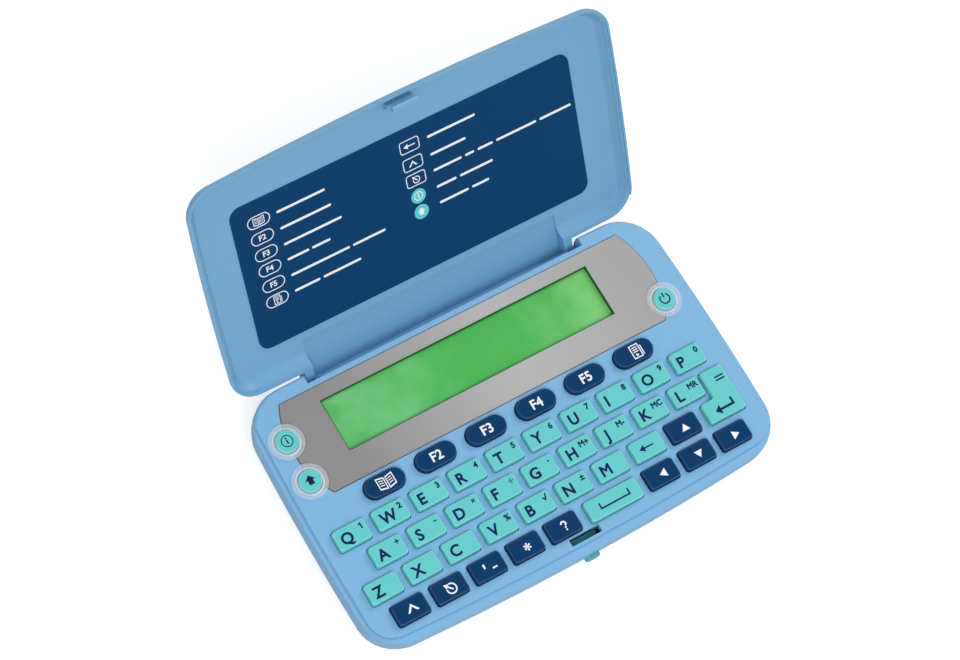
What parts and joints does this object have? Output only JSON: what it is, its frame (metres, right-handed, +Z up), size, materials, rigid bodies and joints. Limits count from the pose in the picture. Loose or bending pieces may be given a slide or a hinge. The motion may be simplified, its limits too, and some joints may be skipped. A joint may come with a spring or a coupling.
{
  "type": "electronic dictionary",
  "caption": "Pocket electronic dictionary: a rounded blue case with a letter keyboard, a wide display in a silver bezel, and a hinged lid that snaps shut over the keys.",
  "frame": {"origin": "the middle of the flat underside that the case rests on", "axes": "+X along the key rows to the user's right, +Y from the front edge towards the hinge, +Z up out of the keyboard"},
  "size_m": [0.126, 0.1187, 0.0638],
  "materials": {
    "case_blue": "satin moulded plastic",
    "lid_blue": "satin moulded plastic",
    "bezel_silver": "satin silver paint on plastic",
    "collar_clear": "milky clear plastic",
    "lcd_green": "backlit liquid crystal panel",
    "mat_rubber": "matte silicone",
    "board_green": "solder mask",
    "cell_steel": "nickel plate",
    "screw_steel": "zinc plate",
    "label_navy": "printed film",
    "latch_teal": "satin moulded plastic",
    "key_teal": "satin moulded plastic",
    "key_navy": "satin moulded plastic"
  },
  "bodies": {
    "base": {"upper_case": "case_blue", "lower_case": "case_blue", "display_bezel": "bezel_silver", "button_collars": "collar_clear", "lcd_panel": "lcd_green", "keypad_mat": "mat_rubber", "circuit_board": "board_green", "battery_door": "case_blue", "coin_cells": "cell_steel", "screws": "screw_steel"},
    "lid": {"lid": "lid_blue", "lid_label": "label_navy"},
    "latch": {"latch_button": "latch_teal"},
    "button_info_body": {"button_info": "key_teal"},
    "button_shift_body": {"button_shift": "key_teal"},
    "button_power_body": {"button_power": "key_teal"},
    "key_q_body": {"key_q": "key_teal"},
    "key_w_body": {"key_w": "key_teal"},
    "key_e_body": {"key_e": "key_teal"},
    "key_r_body": {"key_r": "key_teal"},
    "key_t_body": {"key_t": "key_teal"},
    "key_y_body": {"key_y": "key_teal"},
    "key_u_body": {"key_u": "key_teal"},
    "key_i_body": {"key_i": "key_teal"},
    "key_o_body": {"key_o": "key_teal"},
    "key_p_body": {"key_p": "key_teal"},
    "key_a_body": {"key_a": "key_teal"},
    "key_s_body": {"key_s": "key_teal"},
    "key_d_body": {"key_d": "key_teal"},
    "key_f_body": {"key_f": "key_teal"},
    "key_g_body": {"key_g": "key_teal"},
    "key_h_body": {"key_h": "key_teal"},
    "key_j_body": {"key_j": "key_teal"},
    "key_k_body": {"key_k": "key_teal"},
    "key_l_body": {"key_l": "key_teal"},
    "key_z_body": {"key_z": "key_teal"},
    "key_x_body": {"key_x": "key_teal"},
    "key_c_body": {"key_c": "key_teal"},
    "key_v_body": {"key_v": "key_teal"},
    "key_b_body": {"key_b": "key_teal"},
    "key_n_body": {"key_n": "key_teal"},
    "key_m_body": {"key_m": "key_teal"},
    "key_enter_body": {"key_enter": "key_teal"},
    "key_back_body": {"key_back": "key_teal"},
    "key_up_body": {"key_up": "key_navy"},
    "key_ctrl_body": {"key_ctrl": "key_navy"},
    "key_escape_body": {"key_escape": "key_navy"},
    "key_apostrophe_body": {"key_apostrophe": "key_navy"},
    "key_star_body": {"key_star": "key_navy"},
    "key_question_body": {"key_question": "key_navy"},
    "key_space_body": {"key_space": "key_teal"},
    "key_left_body": {"key_left": "key_navy"},
    "key_down_body": {"key_down": "key_navy"},
    "key_right_body": {"key_right": "key_navy"},
    "key_f1_body": {"key_f1": "key_navy"},
    "key_f2_body": {"key_f2": "key_navy"},
    "key_f3_body": {"key_f3": "key_navy"},
    "key_f4_body": {"key_f4": "key_navy"},
    "key_f5_body": {"key_f5": "key_navy"},
    "key_f6_body": {"key_f6": "key_navy"}
  },
  "joints": [
    {"name": "lid_hinge", "type": "hinge", "parent": "base", "child": "lid", "pos_m": [0, 0.0339, 0.0096], "axis": [1, 0, 0], "range_deg": [0, 127.5]},
    {"name": "latch_press", "type": "slide", "parent": "base", "child": "latch", "axis": [0, 1, 0], "range_m": [0, 0.001], "stiffness_N_per_m": 800},
    {"name": "button_info_press", "type": "slide", "parent": "base", "child": "button_info_body", "axis": [0, 0, -1], "range_m": [0, 0.0008], "stiffness_N_per_m": 600},
    {"name": "button_shift_press", "type": "slide", "parent": "base", "child": "button_shift_body", "axis": [0, 0, -1], "range_m": [0, 0.0008], "stiffness_N_per_m": 600},
    {"name": "button_power_press", "type": "slide", "parent": "base", "child": "button_power_body", "axis": [0, 0, -1], "range_m": [0, 0.0008], "stiffness_N_per_m": 600},
    {"name": "key_q_press", "type": "slide", "parent": "base", "child": "key_q_body", "axis": [0, 0, -1], "range_m": [0, 0.0008], "stiffness_N_per_m": 600},
    {"name": "key_w_press", "type": "slide", "parent": "base", "child": "key_w_body", "axis": [0, 0, -1], "range_m": [0, 0.0008], "stiffness_N_per_m": 600},
    {"name": "key_e_press", "type": "slide", "parent": "base", "child": "key_e_body", "axis": [0, 0, -1], "range_m": [0, 0.0008], "stiffness_N_per_m": 600},
    {"name": "key_r_press", "type": "slide", "parent": "base", "child": "key_r_body", "axis": [0, 0, -1], "range_m": [0, 0.0008], "stiffness_N_per_m": 600},
    {"name": "key_t_press", "type": "slide", "parent": "base", "child": "key_t_body", "axis": [0, 0, -1], "range_m": [0, 0.0008], "stiffness_N_per_m": 600},
    {"name": "key_y_press", "type": "slide", "parent": "base", "child": "key_y_body", "axis": [0, 0, -1], "range_m": [0, 0.0008], "stiffness_N_per_m": 600},
    {"name": "key_u_press", "type": "slide", "parent": "base", "child": "key_u_body", "axis": [0, 0, -1], "range_m": [0, 0.0008], "stiffness_N_per_m": 600},
    {"name": "key_i_press", "type": "slide", "parent": "base", "child": "key_i_body", "axis": [0, 0, -1], "range_m": [0, 0.0008], "stiffness_N_per_m": 600},
    {"name": "key_o_press", "type": "slide", "parent": "base", "child": "key_o_body", "axis": [0, 0, -1], "range_m": [0, 0.0008], "stiffness_N_per_m": 600},
    {"name": "key_p_press", "type": "slide", "parent": "base", "child": "key_p_body", "axis": [0, 0, -1], "range_m": [0, 0.0008], "stiffness_N_per_m": 600},
    {"name": "key_a_press", "type": "slide", "parent": "base", "child": "key_a_body", "axis": [0, 0, -1], "range_m": [0, 0.0008], "stiffness_N_per_m": 600},
    {"name": "key_s_press", "type": "slide", "parent": "base", "child": "key_s_body", "axis": [0, 0, -1], "range_m": [0, 0.0008], "stiffness_N_per_m": 600},
    {"name": "key_d_press", "type": "slide", "parent": "base", "child": "key_d_body", "axis": [0, 0, -1], "range_m": [0, 0.0008], "stiffness_N_per_m": 600},
    {"name": "key_f_press", "type": "slide", "parent": "base", "child": "key_f_body", "axis": [0, 0, -1], "range_m": [0, 0.0008], "stiffness_N_per_m": 600},
    {"name": "key_g_press", "type": "slide", "parent": "base", "child": "key_g_body", "axis": [0, 0, -1], "range_m": [0, 0.0008], "stiffness_N_per_m": 600},
    {"name": "key_h_press", "type": "slide", "parent": "base", "child": "key_h_body", "axis": [0, 0, -1], "range_m": [0, 0.0008], "stiffness_N_per_m": 600},
    {"name": "key_j_press", "type": "slide", "parent": "base", "child": "key_j_body", "axis": [0, 0, -1], "range_m": [0, 0.0008], "stiffness_N_per_m": 600},
    {"name": "key_k_press", "type": "slide", "parent": "base", "child": "key_k_body", "axis": [0, 0, -1], "range_m": [0, 0.0008], "stiffness_N_per_m": 600},
    {"name": "key_l_press", "type": "slide", "parent": "base", "child": "key_l_body", "axis": [0, 0, -1], "range_m": [0, 0.0008], "stiffness_N_per_m": 600},
    {"name": "key_z_press", "type": "slide", "parent": "base", "child": "key_z_body", "axis": [0, 0, -1], "range_m": [0, 0.0008], "stiffness_N_per_m": 600},
    {"name": "key_x_press", "type": "slide", "parent": "base", "child": "key_x_body", "axis": [0, 0, -1], "range_m": [0, 0.0008], "stiffness_N_per_m": 600},
    {"name": "key_c_press", "type": "slide", "parent": "base", "child": "key_c_body", "axis": [0, 0, -1], "range_m": [0, 0.0008], "stiffness_N_per_m": 600},
    {"name": "key_v_press", "type": "slide", "parent": "base", "child": "key_v_body", "axis": [0, 0, -1], "range_m": [0, 0.0008], "stiffness_N_per_m": 600},
    {"name": "key_b_press", "type": "slide", "parent": "base", "child": "key_b_body", "axis": [0, 0, -1], "range_m": [0, 0.0008], "stiffness_N_per_m": 600},
    {"name": "key_n_press", "type": "slide", "parent": "base", "child": "key_n_body", "axis": [0, 0, -1], "range_m": [0, 0.0008], "stiffness_N_per_m": 600},
    {"name": "key_m_press", "type": "slide", "parent": "base", "child": "key_m_body", "axis": [0, 0, -1], "range_m": [0, 0.0008], "stiffness_N_per_m": 600},
    {"name": "key_enter_press", "type": "slide", "parent": "base", "child": "key_enter_body", "axis": [0, 0, -1], "range_m": [0, 0.0008], "stiffness_N_per_m": 600},
    {"name": "key_back_press", "type": "slide", "parent": "base", "child": "key_back_body", "axis": [0, 0, -1], "range_m": [0, 0.0008], "stiffness_N_per_m": 600},
    {"name": "key_up_press", "type": "slide", "parent": "base", "child": "key_up_body", "axis": [0, 0, -1], "range_m": [0, 0.0008], "stiffness_N_per_m": 600},
    {"name": "key_ctrl_press", "type": "slide", "parent": "base", "child": "key_ctrl_body", "axis": [0, 0, -1], "range_m": [0, 0.0008], "stiffness_N_per_m": 600},
    {"name": "key_escape_press", "type": "slide", "parent": "base", "child": "key_escape_body", "axis": [0, 0, -1], "range_m": [0, 0.0008], "stiffness_N_per_m": 600},
    {"name": "key_apostrophe_press", "type": "slide", "parent": "base", "child": "key_apostrophe_body", "axis": [0, 0, -1], "range_m": [0, 0.0008], "stiffness_N_per_m": 600},
    {"name": "key_star_press", "type": "slide", "parent": "base", "child": "key_star_body", "axis": [0, 0, -1], "range_m": [0, 0.0008], "stiffness_N_per_m": 600},
    {"name": "key_question_press", "type": "slide", "parent": "base", "child": "key_question_body", "axis": [0, 0, -1], "range_m": [0, 0.0008], "stiffness_N_per_m": 600},
    {"name": "key_space_press", "type": "slide", "parent": "base", "child": "key_space_body", "axis": [0, 0, -1], "range_m": [0, 0.0008], "stiffness_N_per_m": 600},
    {"name": "key_left_press", "type": "slide", "parent": "base", "child": "key_left_body", "axis": [0, 0, -1], "range_m": [0, 0.0008], "stiffness_N_per_m": 600},
    {"name": "key_down_press", "type": "slide", "parent": "base", "child": "key_down_body", "axis": [0, 0, -1], "range_m": [0, 0.0008], "stiffness_N_per_m": 600},
    {"name": "key_right_press", "type": "slide", "parent": "base", "child": "key_right_body", "axis": [0, 0, -1], "range_m": [0, 0.0008], "stiffness_N_per_m": 600},
    {"name": "key_f1_press", "type": "slide", "parent": "base", "child": "key_f1_body", "axis": [0, 0, -1], "range_m": [0, 0.0008], "stiffness_N_per_m": 600},
    {"name": "key_f2_press", "type": "slide", "parent": "base", "child": "key_f2_body", "axis": [0, 0, -1], "range_m": [0, 0.0008], "stiffness_N_per_m": 600},
    {"name": "key_f3_press", "type": "slide", "parent": "base", "child": "key_f3_body", "axis": [0, 0, -1], "range_m": [0, 0.0008], "stiffness_N_per_m": 600},
    {"name": "key_f4_press", "type": "slide", "parent": "base", "child": "key_f4_body", "axis": [0, 0, -1], "range_m": [0, 0.0008], "stiffness_N_per_m": 600},
    {"name": "key_f5_press", "type": "slide", "parent": "base", "child": "key_f5_body", "axis": [0, 0, -1], "range_m": [0, 0.0008], "stiffness_N_per_m": 600},
    {"name": "key_f6_press", "type": "slide", "parent": "base", "child": "key_f6_body", "axis": [0, 0, -1], "range_m": [0, 0.0008], "stiffness_N_per_m": 600}
  ]
}
